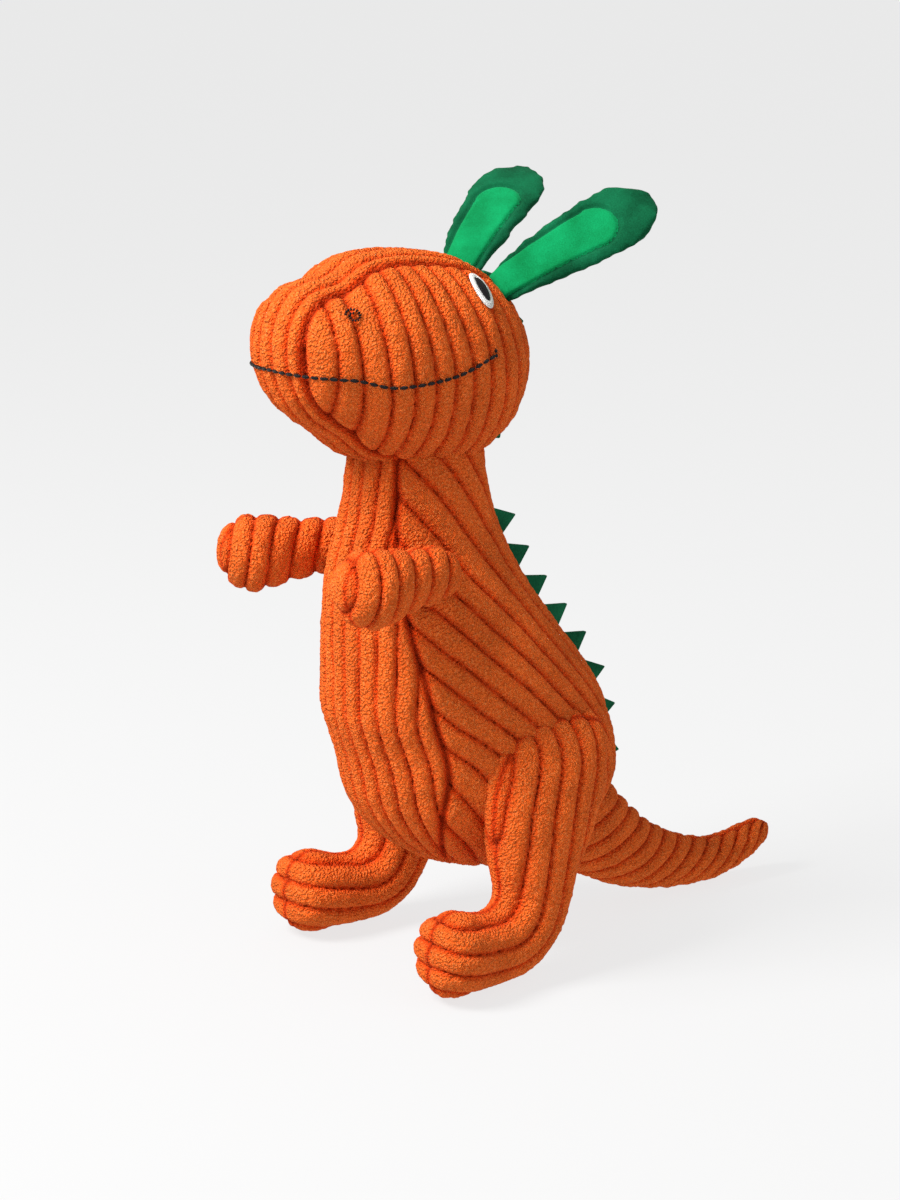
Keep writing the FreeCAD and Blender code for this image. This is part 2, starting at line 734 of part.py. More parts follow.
def build_tail():
    """Left and right cover panels around a core, on a round root."""
    sections = tail_sections()
    root = tail_root()
    outer = loft(sections).fuse(Part.makeSphere(TAIL_BALL, root))
    core = loft(shrunk(sections, COVER)).fuse(Part.makeSphere(TAIL_BALL - COVER, root))
    shell = outer.cut(core)
    save("tail_left", shell.common(side_half(LEFT)))
    save("tail_right", shell.common(side_half(RIGHT)))
    save("tail_stuffing", core)


def report_joints():
    """Pivot points and axes of the moving pieces."""
    print("neck", neck_centre(), "tail", tail_root())
    for side, word in ((LEFT, "left"), (RIGHT, "right")):
        print(word, "arm", arm_root(side), "hip", hip_centre(side))
        print(word, "ear", ear_frame(side))


os.makedirs("parts", exist_ok=True)
build_body()
build_head()
build_tail()
for side, word in ((LEFT, "left"), (RIGHT, "right")):
    build_ear(side, word)
    build_arm(side, word)
    build_leg(side, word)
report_joints()
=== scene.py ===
import json
import math
import bmesh
import bpy
import numpy as np
from mathutils import Matrix, Vector, noise
from mathutils.bvhtree import BVHTree


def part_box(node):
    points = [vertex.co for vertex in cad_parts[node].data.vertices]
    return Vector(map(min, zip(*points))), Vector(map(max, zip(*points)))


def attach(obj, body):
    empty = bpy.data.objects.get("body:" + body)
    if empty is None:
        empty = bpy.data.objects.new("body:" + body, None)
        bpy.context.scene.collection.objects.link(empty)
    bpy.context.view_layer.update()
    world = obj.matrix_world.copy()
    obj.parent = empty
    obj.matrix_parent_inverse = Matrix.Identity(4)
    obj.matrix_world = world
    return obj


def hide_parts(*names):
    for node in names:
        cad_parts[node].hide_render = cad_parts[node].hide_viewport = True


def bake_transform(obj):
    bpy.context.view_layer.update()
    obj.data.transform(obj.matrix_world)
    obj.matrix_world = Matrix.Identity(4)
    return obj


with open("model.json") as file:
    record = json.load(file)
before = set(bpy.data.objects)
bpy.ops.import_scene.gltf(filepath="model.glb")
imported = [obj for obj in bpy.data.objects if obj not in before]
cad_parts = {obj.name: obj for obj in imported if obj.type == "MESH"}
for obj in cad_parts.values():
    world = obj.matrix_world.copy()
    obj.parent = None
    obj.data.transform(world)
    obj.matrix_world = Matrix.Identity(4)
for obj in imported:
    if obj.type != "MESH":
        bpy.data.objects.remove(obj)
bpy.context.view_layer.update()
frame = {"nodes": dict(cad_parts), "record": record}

# ---------------------------------------------------------------------------
# The body: a pear-shaped bag of wide-ribbed orange plush, sewn from two side
# panels and a belly panel and packed with fibre. It is drawn as rings, swelled
# as cloth with its seams held, and then given its ribs, nap and creases.
# ---------------------------------------------------------------------------
MM = 0.001
RIB = 9.0 * MM            # from one rib of the plush to the next
RIB_DEPTH = 3.2 * MM
SWELL = 1.5 * MM          # room left for the cloth to swell into
LIMB_SWELL = 1.2 * MM
hinges = {j["name"]: Vector(j["pos_m"]) for j in frame["record"]["behaviour"]["joints"]}
hinge_axes = {j["name"]: Vector(j["axis"]) for j in frame["record"]["behaviour"]["joints"]}


def span(*nodes):
    """Lowest and highest corner of several CAD nodes together."""
    boxes = [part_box(node) for node in nodes]
    return (Vector([min(b[0][i] for b in boxes) for i in range(3)]),
            Vector([max(b[1][i] for b in boxes) for i in range(3)]))


def shares(table, t):
    """The columns of a table at t, along curves that never overshoot its rows."""
    table = np.asarray(table, float)
    x, y = table[:, 0], table[:, 1:]
    steps = np.diff(x)[:, None]
    slopes = np.diff(y, axis=0) / steps
    tangents = np.zeros_like(y)
    tangents[0], tangents[-1] = slopes[0], slopes[-1]
    a, b = slopes[:-1], slopes[1:]
    total = np.where(np.abs(a + b) < 1e-12, 1, a + b)
    tangents[1:-1] = np.where(a * b > 0, 2 * a * b / total, 0)
    t = np.atleast_1d(np.clip(t, x[0], x[-1]))
    k = np.clip(np.searchsorted(x, t) - 1, 0, len(steps) - 1)
    h = steps[k]
    u = ((t - x[k])[:, None]) / h
    return (y[k] * (2 * u**3 - 3 * u**2 + 1) + tangents[k] * h * (u**3 - 2 * u**2 + u)
            + y[k + 1] * (3 * u**2 - 2 * u**3) + tangents[k + 1] * h * (u**3 - u**2))


def rounding(t, start, end):
    """Share of the full radius at t where a form rounds off over its first and last shares."""
    share = 1.0
    if start and t < start:
        share *= math.sqrt(max(0.0, 1 - (1 - t / start) ** 2))
    if end and 1 - t < end:
        share *= math.sqrt(max(0.0, 1 - (1 - (1 - t) / end) ** 2))
    return share


def lofted(name, sections, around=56):
    """A closed form through ellipses, each (centre, across, along, half-size, half-size)."""
    bm = bmesh.new()
    loops = []
    for centre, across, along, a, b in sections:
        place = Matrix((across * a, along * b, across.cross(along))).transposed().to_4x4()
        place.translation = centre
        before = len(bm.edges)
        bmesh.ops.create_circle(bm, cap_ends=False, radius=1, segments=around, matrix=place)
        bm.edges.ensure_lookup_table()
        loops.append(bm.edges[before:])
    for low, high in zip(loops, loops[1:]):
        bmesh.ops.bridge_loops(bm, edges=low + high)
    for end in (loops[0], loops[-1]):
        bmesh.ops.edgeloop_fill(bm, edges=end)
    bmesh.ops.recalc_face_normals(bm, faces=bm.faces)
    mesh = bpy.data.meshes.new(name)
    bm.to_mesh(mesh)
    bm.free()
    piece = bpy.data.objects.new(name, mesh)
    bpy.context.scene.collection.objects.link(piece)
    return piece


def settled(piece):
    """Makes the piece's live modifiers part of its mesh."""
    bpy.context.view_layer.update()
    mesh = bpy.data.meshes.new_from_object(piece.evaluated_get(bpy.context.evaluated_depsgraph_get()))
    old = piece.data
    piece.modifiers.clear()
    piece.data = mesh
    mesh.name = piece.name
    bpy.data.meshes.remove(old)


def points_of(piece):
    mesh = piece.data
    co = np.empty(len(mesh.vertices) * 3)
    mesh.vertices.foreach_get("co", co)
    normals = np.empty(len(mesh.vertices) * 3)
    mesh.vertex_normals.foreach_get("vector", normals)
    return co.reshape(-1, 3), normals.reshape(-1, 3)


def remeshed(piece, voxel):
    """An even skin of small squares over the form."""
    modifier = piece.modifiers.new("even", "REMESH")
    modifier.mode = "VOXEL"
    modifier.voxel_size = voxel
    modifier.adaptivity = 0
    settled(piece)


def stuffed(piece, seam_distance, reach, pressure=4.0):
    """Cloth blown up from inside, its sewn lines held, and no point moving further than reach."""
    start, _ = points_of(piece)
    held = piece.vertex_groups.new(name="sewn")
    weights = np.clip(1.25 - seam_distance(start) / (3.0 * MM), 0.0, 1.0)
    for i in np.flatnonzero(weights > 0.02):
        held.add([int(i)], float(weights[i]), "REPLACE")
    cloth = piece.modifiers.new("fill", "CLOTH")
    cloth.settings.quality = 5
    cloth.settings.mass = 0.2
    cloth.settings.tension_stiffness = 12
    cloth.settings.compression_stiffness = 12
    cloth.settings.shear_stiffness = 4
    cloth.settings.bending_stiffness = 0.4
    cloth.settings.use_pressure = True
    cloth.settings.uniform_pressure_force = pressure
    cloth.settings.vertex_group_mass = held.name
    cloth.settings.effector_weights.gravity = 0
    cloth.collision_settings.use_collision = False
    cloth.point_cache.frame_start, cloth.point_cache.frame_end = 1, 20
    for step in range(1, 21):
        bpy.context.scene.frame_set(step)
    bpy.context.view_layer.update()
    seen = piece.evaluated_get(bpy.context.evaluated_depsgraph_get()).to_mesh()
    end = np.empty(len(seen.vertices) * 3)
    seen.vertices.foreach_get("co", end)
    piece.evaluated_get(bpy.context.evaluated_depsgraph_get()).to_mesh_clear()
    move = end.reshape(-1, 3) - start
    length = np.linalg.norm(move, axis=1, keepdims=True)
    move *= np.minimum(1.0, reach / np.maximum(length, 1e-9))
    piece.modifiers.clear()
    piece.vertex_groups.clear()
    piece.data.vertices.foreach_set("co", (start + move).ravel())
    piece.data.update()
    bpy.context.scene.frame_set(1)


def finely(piece, levels=2):
    """Rounds the squares into a fine, even skin."""
    modifier = piece.modifiers.new("fine", "SUBSURF")
    modifier.levels = modifier.render_levels = levels
    settled(piece)


def roughness_of_nap(co, size, seed):
    """A soft random value from -1 to 1 at each point, the same every run."""
    shift = Vector((seed * 17.3, seed * 5.1, seed * 9.7))
    return np.array([noise.noise(Vector(p) / size + shift) for p in co])


def ribbed(piece, phase, seam, depth=RIB_DEPTH, crease=2.2 * MM, seed=1):
    """Raises the plush's ribs and nap, sinks its seams, and keeps both as attributes; from the rib attribute the
    cloth's colour paints shade into the grooves and seams and a highlight onto the rib tops.
    """
    co, normals = points_of(piece)
    wander = roughness_of_nap(co, 22 * MM, seed) * 0.09
    turn = phase(co) + wander
    turn = turn - np.floor(turn)
    near = 2 * np.minimum(turn, 1 - turn)
    rib = np.sqrt(np.clip(1 - (1 - near) ** 2.2, 0, 1)) ** 0.8
    away = seam(co)
    shut = np.exp(-((away / (1.7 * MM)) ** 2))
    lumps = roughness_of_nap(co, 7 * MM, seed + 3)
    nap = roughness_of_nap(co, 1.7 * MM, seed + 7)
    lift = -depth * (1 - rib) - crease * shut + 0.35 * MM * lumps * rib + 0.42 * MM * nap * (0.3 + 0.7 * rib)
    piece.data.vertices.foreach_set("co", (co + normals * lift[:, None]).ravel())
    # the rib attribute, sunk at the seams, sets the painted shade in the grooves and seams and the painted highlight on
    # the rib tops
    for name, value in (("rib", rib * (1 - 0.9 * shut)), ("sewn", shut)):
        attribute = piece.data.attributes.new(name, "FLOAT", "POINT")
        attribute.data.foreach_set("value", value.astype(np.float32))
    piece.data.update()
    piece.data.shade_smooth()


def plush_cloth():
    """Orange looped pile broken into small tufts, with painted shade deep red between the ribs, in the seams and in the
    pits between the tufts, a painted highlight paler on the pile tips of the rib tops, and patches of painted sheen on
    the nap.
    """
    cloth = bpy.data.materials.new("ribbed orange plush")
    cloth.use_nodes = True
    nodes, links = cloth.node_tree.nodes, cloth.node_tree.links
    shader = nodes["Principled BSDF"]
    rib = nodes.new("ShaderNodeAttribute")
    rib.attribute_name = "rib"
    place = nodes.new("ShaderNodeTexCoord")
    stir = nodes.new("ShaderNodeTexNoise")
    stir.inputs["Scale"].default_value = 500
    stir.inputs["Detail"].default_value = 1
    loosened = nodes.new("ShaderNodeVectorMath")
    loosened.operation = "MULTIPLY_ADD"
    loosened.inputs[1].default_value = (0.0012, 0.0012, 0.0012)
    tufts = nodes.new("ShaderNodeTexVoronoi")
    tufts.feature = "SMOOTH_F1"
    tufts.inputs["Scale"].default_value = 950
    tufts.inputs["Smoothness"].default_value = 0.35
    fluff = nodes.new("ShaderNodeTexNoise")
    fluff.inputs["Scale"].default_value = 1300
    fluff.inputs["Detail"].default_value = 3
    patches = nodes.new("ShaderNodeTexNoise")
    patches.inputs["Scale"].default_value = 60
    patches.inputs["Detail"].default_value = 3
    for texture in (stir, fluff, patches):
        links.new(place.outputs["Object"], texture.inputs["Vector"])
    links.new(stir.outputs["Color"], loosened.inputs[0])
    links.new(place.outputs["Object"], loosened.inputs[2])
    links.new(loosened.outputs["Vector"], tufts.inputs["Vector"])
    # painted shade and painted highlight: deep red in the grooves and seams, pale orange on the rib tops
    shade = nodes.new("ShaderNodeValToRGB")
    shade.color_ramp.elements[0].position = 0.05
    shade.color_ramp.elements[0].color = (0.26, 0.008, 0.001, 1)
    shade.color_ramp.elements[1].position = 0.92
    shade.color_ramp.elements[1].color = (0.95, 0.165, 0.022, 1)
    middle = shade.color_ramp.elements.new(0.50)
    middle.color = (0.82, 0.060, 0.004, 1)
    links.new(rib.outputs["Fac"], shade.inputs["Fac"])
    # painted shade: the pits between the tufts are mixed towards a darker red
    pits = nodes.new("ShaderNodeMapRange")
    pits.inputs["From Min"].default_value = 0.18
    pits.inputs["From Max"].default_value = 0.62
    pits.inputs["To Max"].default_value = 0.42
    links.new(tufts.outputs["Distance"], pits.inputs["Value"])
    pit_shade = nodes.new("ShaderNodeMix")
    pit_shade.data_type = "RGBA"
    pit_shade.inputs["B"].default_value = (0.56, 0.035, 0.003, 1)
    links.new(pits.outputs["Result"], pit_shade.inputs["Factor"])
    links.new(shade.outputs["Color"], pit_shade.inputs["A"])
    # painted highlight: the pile tips on the rib tops are mixed towards a pale orange
    lit = nodes.new("ShaderNodeMapRange")
    lit.inputs["From Min"].default_value = 0.50
    lit.inputs["From Max"].default_value = 0.72
    lit.inputs["To Max"].default_value = 0.70
    links.new(fluff.outputs["Fac"], lit.inputs["Value"])
    tips = nodes.new("ShaderNodeMath")
    tips.operation = "MULTIPLY"
    links.new(lit.outputs["Result"], tips.inputs[0])
    links.new(rib.outputs["Fac"], tips.inputs[1])
    tip_highlight = nodes.new("ShaderNodeMix")
    tip_highlight.data_type = "RGBA"
    tip_highlight.inputs["B"].default_value = (0.95, 0.30, 0.085, 1)
    links.new(tips.outputs["Value"], tip_highlight.inputs["Factor"])
    links.new(pit_shade.outputs["Result"], tip_highlight.inputs["A"])
    # painted sheen: broad lighter and darker patches where the nap lies different ways
    uneven = nodes.new("ShaderNodeMapRange")
    uneven.inputs["From Min"].default_value = 0.3
    uneven.inputs["From Max"].default_value = 0.7
    uneven.inputs["To Min"].default_value = 0.88
    uneven.inputs["To Max"].default_value = 1.10
    links.new(patches.outputs["Fac"], uneven.inputs["Value"])
    nap_sheen = nodes.new("ShaderNodeHueSaturation")
    links.new(uneven.outputs["Result"], nap_sheen.inputs["Value"])
    links.new(tip_highlight.outputs["Result"], nap_sheen.inputs["Color"])
    links.new(nap_sheen.outputs["Color"], shader.inputs["Base Color"])
    gaps = nodes.new("ShaderNodeMath")
    gaps.operation = "MULTIPLY_ADD"
    gaps.inputs[1].default_value = -1.3
    links.new(tufts.outputs["Distance"], gaps.inputs[0])
    links.new(fluff.outputs["Fac"], gaps.inputs[2])
    bump = nodes.new("ShaderNodeBump")
    bump.inputs["Strength"].default_value = 0.9
    bump.inputs["Distance"].default_value = 0.0018
    links.new(gaps.outputs["Value"], bump.inputs["Height"])
    links.new(bump.outputs["Normal"], shader.inputs["Normal"])
    shader.inputs["Roughness"].default_value = 0.95
    shader.inputs["Specular IOR Level"].default_value = 0.03
    shader.inputs["Sheen Weight"].default_value = 0.05
    shader.inputs["Sheen Roughness"].default_value = 0.5
    shader.inputs["Sheen Tint"].default_value = (1.0, 0.45, 0.18, 1)
    return cloth


ORANGE = plush_cloth()
low, high = span("body_side_left", "body_side_right", "belly_panel")
neck = hinges["head_nod"]
BODY_BASE, BODY_TALL = low.z, high.z - low.z
BODY_WIDE = (high.x - low.x) / 2
BODY_DEEP = 60 * MM
BODY_LEAN = 36 * MM
BODY_FORM = [             # height, width, depth, how far forward
    (0.00, 1.00, 1.00, 1.00),
    (0.26, 1.00, 1.05, 0.86),
    (0.39, 1.00, 1.05, 0.66),
    (0.51, 0.93, 0.94, 0.44),
    (0.64, 0.80, 0.79, 0.19),
    (0.76, 0.66, 0.67, 0.03),
    (0.88, 0.56, 0.55, 0.00),
    (1.00, 0.52, 0.50, 0.00),
]


def body_at(z):
    """Half-width, half-depth and centre line of the body at heights z."""
    t = np.clip((np.asarray(z, float) - BODY_BASE) / BODY_TALL, 0, 1)
    wide, deep, lean = shares(BODY_FORM, t).T
    return BODY_WIDE * wide, BODY_DEEP * deep, neck.y + BODY_LEAN * lean


def body_turn(co):
    """Angle round the body from straight ahead, and the body's size there."""
    wide, deep, centre = body_at(co[:, 2])
    return np.arctan2(co[:, 0] / wide, -(co[:, 1] - centre) / deep), wide, deep, centre


def belly_edge(z):
    """Angle from straight ahead to the belly panel's seam at heights z."""
    t = np.clip((z - BODY_BASE) / BODY_TALL, 0, 1)
    return np.radians(shares([(0, 20), (0.12, 38), (0.35, 50), (0.7, 47), (1, 42)], t)[:, 0])


def body_seams(co):
    turn, wide, deep, centre = body_turn(co)
    belly = np.abs(np.abs(turn) - belly_edge(co[:, 2])) * (wide + deep) / 2
    back = np.where(co[:, 1] > centre, np.abs(co[:, 0]), 1.0)
    return np.minimum(belly, back)


def body_ribs(co):
    """Up and down on the belly, and slanting down and back on the sides."""
    turn, wide, deep, _ = body_turn(co)
    edge = belly_edge(co[:, 2])
    round_side = (np.abs(turn) - edge) * (wide + deep) / 2
    fall = 0.95 * round_side + 4.0 * round_side**2
    side = (co[:, 2] + fall) / (1.82 * RIB)
    return np.where(np.abs(turn) < edge, turn * (wide + deep) / 2 / RIB + 0.5, side)


rows = []
for i in range(44):
    t = max(0.006, 1 - math.cos(math.pi * i / 86))
    wide, deep, centre = (float(v[0]) for v in body_at([BODY_BASE + BODY_TALL * t]))
    share = rounding(t, 0.25, 0)
    rows.append((Vector((0, centre, BODY_BASE + BODY_TALL * t)), Vector((1, 0, 0)), Vector((0, 1, 0)),
                 wide * share - SWELL, deep * share - SWELL))
for lift, share in ((6, 0.90), (11, 0.72), (14, 0.45)):
    rows.append((Vector((0, neck.y, BODY_BASE + BODY_TALL + lift * MM)), Vector((1, 0, 0)), Vector((0, 1, 0)),
                 BODY_WIDE * 0.52 * share, BODY_DEEP * 0.5 * share))
body_skin = lofted("body_skin", [r for r in rows if r[3] > 0])
remeshed(body_skin, 4.2 * MM)
stuffed(body_skin, body_seams, 3.0 * MM)
finely(body_skin)
ribbed(body_skin, body_ribs, body_seams, seed=1)
body_skin.data.materials.append(ORANGE)
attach(body_skin, "body")
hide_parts("body_side_left", "body_side_right", "belly_panel", "body_stuffing")

# ---------------------------------------------------------------------------
# The head: two side panels of plush with their ribs running up and down, and a
# gusset from the throat over the nose and crown to the nape, ribbed lengthwise.
# It is sewn and stuffed in the same way as the body and nods on the neck.
# ---------------------------------------------------------------------------
HEAD_LONG = 117 * MM
HEAD_WIDE, HEAD_TALL = 43 * MM, 44 * MM
GUSSET = 16 * MM
head_middle = Vector((0, neck.y - 11 * MM, neck.z + 51.5 * MM))
HEAD_FORM = [             # from nose to nape, width, height, lift
    (0.00, 0.70, 0.60, 0.105),
    (0.19, 0.79, 0.71, 0.062),
    (0.25, 0.88, 0.80, 0.040),
    (0.31, 0.95, 0.93, 0.038),
    (0.50, 1.00, 1.00, 0.014),
    (0.66, 1.00, 1.00, -0.010),
    (1.00, 0.95, 1.02, -0.035),
]


def head_at(t):
    wide, tall, lift = (float(v) for v in shares(HEAD_FORM, t)[0])
    share = rounding(t, 0.16, 0.40)
    centre = Vector((0, head_middle.y + HEAD_LONG * (t - 0.5), head_middle.z + 2 * HEAD_TALL * lift))
    return centre, HEAD_WIDE * wide * share, HEAD_TALL * tall * share


def head_seams(co):
    return np.abs(np.abs(co[:, 0]) - GUSSET)


def head_ribs(co):
    """Lengthwise on the gusset; up and down on the sides, drawn together above and below."""
    rise = (co[:, 2] - head_middle.z) / HEAD_TALL
    back = co[:, 1] - head_middle.y
    side = (back / (1 - 0.20 * rise**2) + 5 * MM * rise) / RIB
    return np.where(np.abs(co[:, 0]) < GUSSET, co[:, 0] / RIB, side)


rows = []
for i in range(40):
    t = min(max(0.5 - 0.5 * math.cos(math.pi * i / 39), 0.006), 0.992)
    centre, a, b = head_at(t)
    rows.append((centre, Vector((1, 0, 0)), Vector((0, 0, 1)), a - SWELL, b - SWELL))
head_skin = lofted("head_skin", [r for r in rows if r[3] > 1 * MM])
remeshed(head_skin, 4 * MM)
stuffed(head_skin, head_seams, 3.0 * MM)
finely(head_skin)
smooth_head = BVHTree.FromObject(head_skin, bpy.context.evaluated_depsgraph_get())
ribbed(head_skin, head_ribs, head_seams, seed=2)
head_skin.data.materials.append(ORANGE)
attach(head_skin, "head")
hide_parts("head_side_left", "head_side_right", "head_gusset", "head_stuffing")

# ---------------------------------------------------------------------------
# The arms: short stuffed sleeves with round ends, sewn to the sides of the
# chest. The plush's ribs go round them as slanting rings.
# ---------------------------------------------------------------------------
ARM_FORM = [(0.00, 0.74), (0.35, 0.76), (0.60, 0.90), (0.80, 1.00), (1.00, 0.94)]
ARM_LONG, ARM_THICK = 62 * MM, 17.2 * MM
for side, word in ((1, "left"), (-1, "right")):
    splay = math.radians(11)
    ahead = Vector((side * math.sin(splay), -math.cos(splay), 0))
    across = Vector((math.cos(splay), side * math.sin(splay), 0))
    shoulder = hinges[f"arm_swing_{word}"]
    start = shoulder - hinge_axes[f"arm_swing_{word}"] * 2 * MM - ahead * 4 * MM
    rows = []
    for i in range(26):
        t = min(max(0.5 - 0.5 * math.cos(math.pi * i / 25), 0.01), 0.988)
        r = ARM_THICK * float(shares(ARM_FORM, t)[0, 0]) * rounding(t, 0.20, 0.22) - LIMB_SWELL
        if r > 0.5 * MM:
            rows.append((start + ahead * (ARM_LONG * t), across, Vector((0, 0, 1)), r, r))
    arm = lofted(f"arm_{word}_skin", rows, 40)
    remeshed(arm, 3.4 * MM)

    def arm_seams(co, start=start, across=across):
        return np.abs((co - np.array(start)) @ np.array(across)) + 0.8 * MM

    def arm_ribs(co, start=start, ahead=ahead, across=across):
        bias = (ahead * 0.88 - across * 0.42 + Vector((0, 0, 0.15))).normalized()
        return ((co - np.array(start)) @ np.array(bias)) / RIB + 0.2

    stuffed(arm, arm_seams, 2.5 * MM)
    finely(arm)
    ribbed(arm, arm_ribs, arm_seams, crease=0.4 * MM, seed=4 + side)
    arm.data.materials.append(ORANGE)
    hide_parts(f"arm_outer_{word}", f"arm_inner_{word}", f"arm_stuffing_{word}")
    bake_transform(arm)

# ---------------------------------------------------------------------------
# The legs: a haunch sewn to the flank, a shin, and a foot that points forward
# and carries the toy. The plush's ribs follow the line of the limb, so they run
# down the shin and along the foot.
# ---------------------------------------------------------------------------
LEG_WIDE, LEG_DEEP = 18 * MM, 27 * MM
LEG_OUT = 11.9 * MM       # from the hip's pivot to the leg's middle
TOE_OUT = 4.5 * MM
LEG_FORM = [              # back, up, width, depth, tilt in degrees, outward
    (0.22, 1.52, 0.20, 0.40, 0, -2.4),
    (0.22, 1.46, 0.48, 0.74, 0, -2.0),
    (0.21, 1.32, 0.80, 1.02, 0, -1.1),
    (0.14, 1.04, 1.00, 1.12, 0, -0.5),
    (0.05, 0.80, 1.02, 1.02, 0, 0.00),
    (0.00, 0.60, 0.96, 0.82, 0, 0.15),
    (-0.04, 0.43, 0.90, 0.68, -10, 0.20),
    (-0.13, 0.30, 0.89, 0.64, -40, 0.25),
    (-0.33, 0.215, 0.90, 0.62, -75, 0.35),
    (-0.57, 0.215, 0.96, 0.63, -92, 0.55),
    (-0.80, 0.235, 1.06, 0.70, -97, 0.90),
    (-0.94, 0.25, 0.98, 0.66, -97, 1.05),
    (-1.02, 0.262, 0.70, 0.46, -97, 1.10),
    (-1.05, 0.265, 0.30, 0.20, -97, 1.10),
]
for side, word in ((1, "left"), (-1, "right")):
    hip = hinges[f"leg_swing_{word}"]
    middle = hip.x + side * LEG_OUT
    table = [(i, *row) for i, row in enumerate(LEG_FORM)]
    rows = []
    for u in np.linspace(0, len(LEG_FORM) - 1, 40):
        back, up, wide, deep, turn, out = (float(v) for v in shares(table, u)[0])
        angle = math.radians(turn)
        height = up * hip.z if up < 1 else hip.z + (up - 1) * 2 * LEG_DEEP
        centre = Vector((middle + side * TOE_OUT * out, hip.y + back * 2 * LEG_DEEP, height))
        rows.append((centre, Vector((1, 0, 0)), Vector((0, math.cos(angle), math.sin(angle))),
                     LEG_WIDE * wide - LIMB_SWELL, LEG_DEEP * deep - LIMB_SWELL))
    leg = lofted(f"leg_{word}_skin", rows, 44)
    remeshed(leg, 3.8 * MM)

    def leg_seams(co, middle=middle, side=side):
        toe = np.clip((hip.y - co[:, 1]) / (2 * LEG_DEEP), 0, 1)
        return np.abs(co[:, 0] - middle - side * TOE_OUT * toe) + 0.5 * MM

    line = np.array([tuple(row[0])[1:] for row in rows])
    way = np.gradient(line, axis=0)
    way /= np.linalg.norm(way, axis=1, keepdims=True)

    def leg_ribs(co, line=line, way=way):
        """How far each point lies in front of or behind the line down the leg and along the foot."""
        off = co[:, None, 1:] - line[None]
        near = np.exp(-(off**2).sum(2) / (11 * MM) ** 2) + 1e-12
        beside = off[:, :, 0] * way[None, :, 1] - off[:, :, 1] * way[None, :, 0]
        return (beside * near).sum(1) / near.sum(1) / (1.06 * RIB) + 0.5

    stuffed(leg, leg_seams, 2.5 * MM)
    finely(leg)
    ribbed(leg, leg_ribs, leg_seams, crease=0.3 * MM, seed=8 + side)
    leg.data.materials.append(ORANGE)
    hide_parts(f"leg_outer_{word}", f"leg_inner_{word}", f"leg_stuffing_{word}")
    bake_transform(leg)

# ---------------------------------------------------------------------------
# The tail: a long taper of plush cut on the bias, so its ribs wind round it
# like a rope. It drops to the floor and its tip lifts.
# ---------------------------------------------------------------------------
TAIL_FORM = [             # along, up, width, depth, tilt in degrees
    (0.00, 1.00, 0.96, 0.98, 15),
    (0.07, 0.88, 0.92, 1.00, 34),
    (0.19, 0.66, 0.82, 0.90, 50),
    (0.36, 0.42, 0.70, 0.74, 66),
    (0.54, 0.28, 0.585, 0.585, 80),
    (0.71, 0.217, 0.48, 0.48, 91),
    (0.85, 0.26, 0.413, 0.413, 104),
    (0.94, 0.34, 0.348, 0.348, 110),
    (0.985, 0.385, 0.23, 0.23, 112),
    (1.00, 0.40, 0.10, 0.10, 112),
]
TAIL_THICK, TAIL_LONG = 23 * MM, 123 * MM
root = hinges["tail_wag"]
rows, spine = [], []
for u in np.linspace(0, 1, 44):
    up, wide, deep, turn = (float(v) for v in shares(TAIL_FORM, u)[0])
    angle = math.radians(turn)
    centre = Vector((0, root.y + TAIL_LONG * u, root.z * up))
    spine.append(centre)
    rows.append((centre, Vector((1, 0, 0)), Vector((0, math.cos(angle), math.sin(angle))),
                 max(TAIL_THICK * wide - LIMB_SWELL, 0.8 * MM), max(TAIL_THICK * deep - LIMB_SWELL, 0.8 * MM)))
spine = np.array([tuple(p) for p in spine])
tail_skin = lofted("tail_skin", rows, 44)
remeshed(tail_skin, 3.6 * MM)


def along_tail(co):
    """Distance down the tail's spine, and the angle round it."""
    flat = co[:, None, 1:] - spine[None, :, 1:]
    near = np.argmin((flat**2).sum(2), axis=1)
    steps = np.linalg.norm(np.diff(spine, axis=0), axis=1)
    run = np.concatenate([[0], np.cumsum(steps)])
    ahead = np.gradient(spine, axis=0)
    ahead /= np.linalg.norm(ahead, axis=1, keepdims=True)
    off = co - spine[near]
    over = ahead[near]
    upward = np.stack([np.zeros(len(co)), -over[:, 2], over[:, 1]], 1)
    rise = (off * upward).sum(1)
    return run[near] + (off * over).sum(1), np.arctan2(off[:, 0], rise), np.hypot(off[:, 0], rise)


def tail_seams(co):
    _, turn, radius = along_tail(co)
    return np.minimum(np.abs(turn), np.pi - np.abs(turn)) * radius + 0.6 * MM


def tail_ribs(co):
    run, turn, _ = along_tail(co)
    return (run * 0.9 + np.abs(turn) * 9 * MM) / RIB


stuffed(tail_skin, tail_seams, 2.5 * MM)
finely(tail_skin)
ribbed(tail_skin, tail_ribs, tail_seams, crease=1.2 * MM, seed=12)
tail_skin.data.materials.append(ORANGE)
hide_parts("tail_left", "tail_right", "tail_stuffing")
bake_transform(tail_skin)

# ---------------------------------------------------------------------------
# The ears: two long leaves of dark green velour, lightly padded, with a tongue
# of lighter velour let into the front. Each is pinched at its root and sewn
# into the back of the crown, and flops from there.
# ---------------------------------------------------------------------------
EAR_LONG, EAR_WIDE, EAR_THICK = 69 * MM, 17 * MM, 4.4 * MM
EAR_FORM = [(0.00, 0.58), (0.10, 0.68), (0.30, 0.84), (0.50, 0.95), (0.72, 1.03), (1.00, 0.98)]
EAR_LEAN = {"left": (0.42, 0.50), "right": (-0.30, 0.60)}    # outward and up, the rest being back
TONGUE = 0.74             # the light panel's share of the ear's length


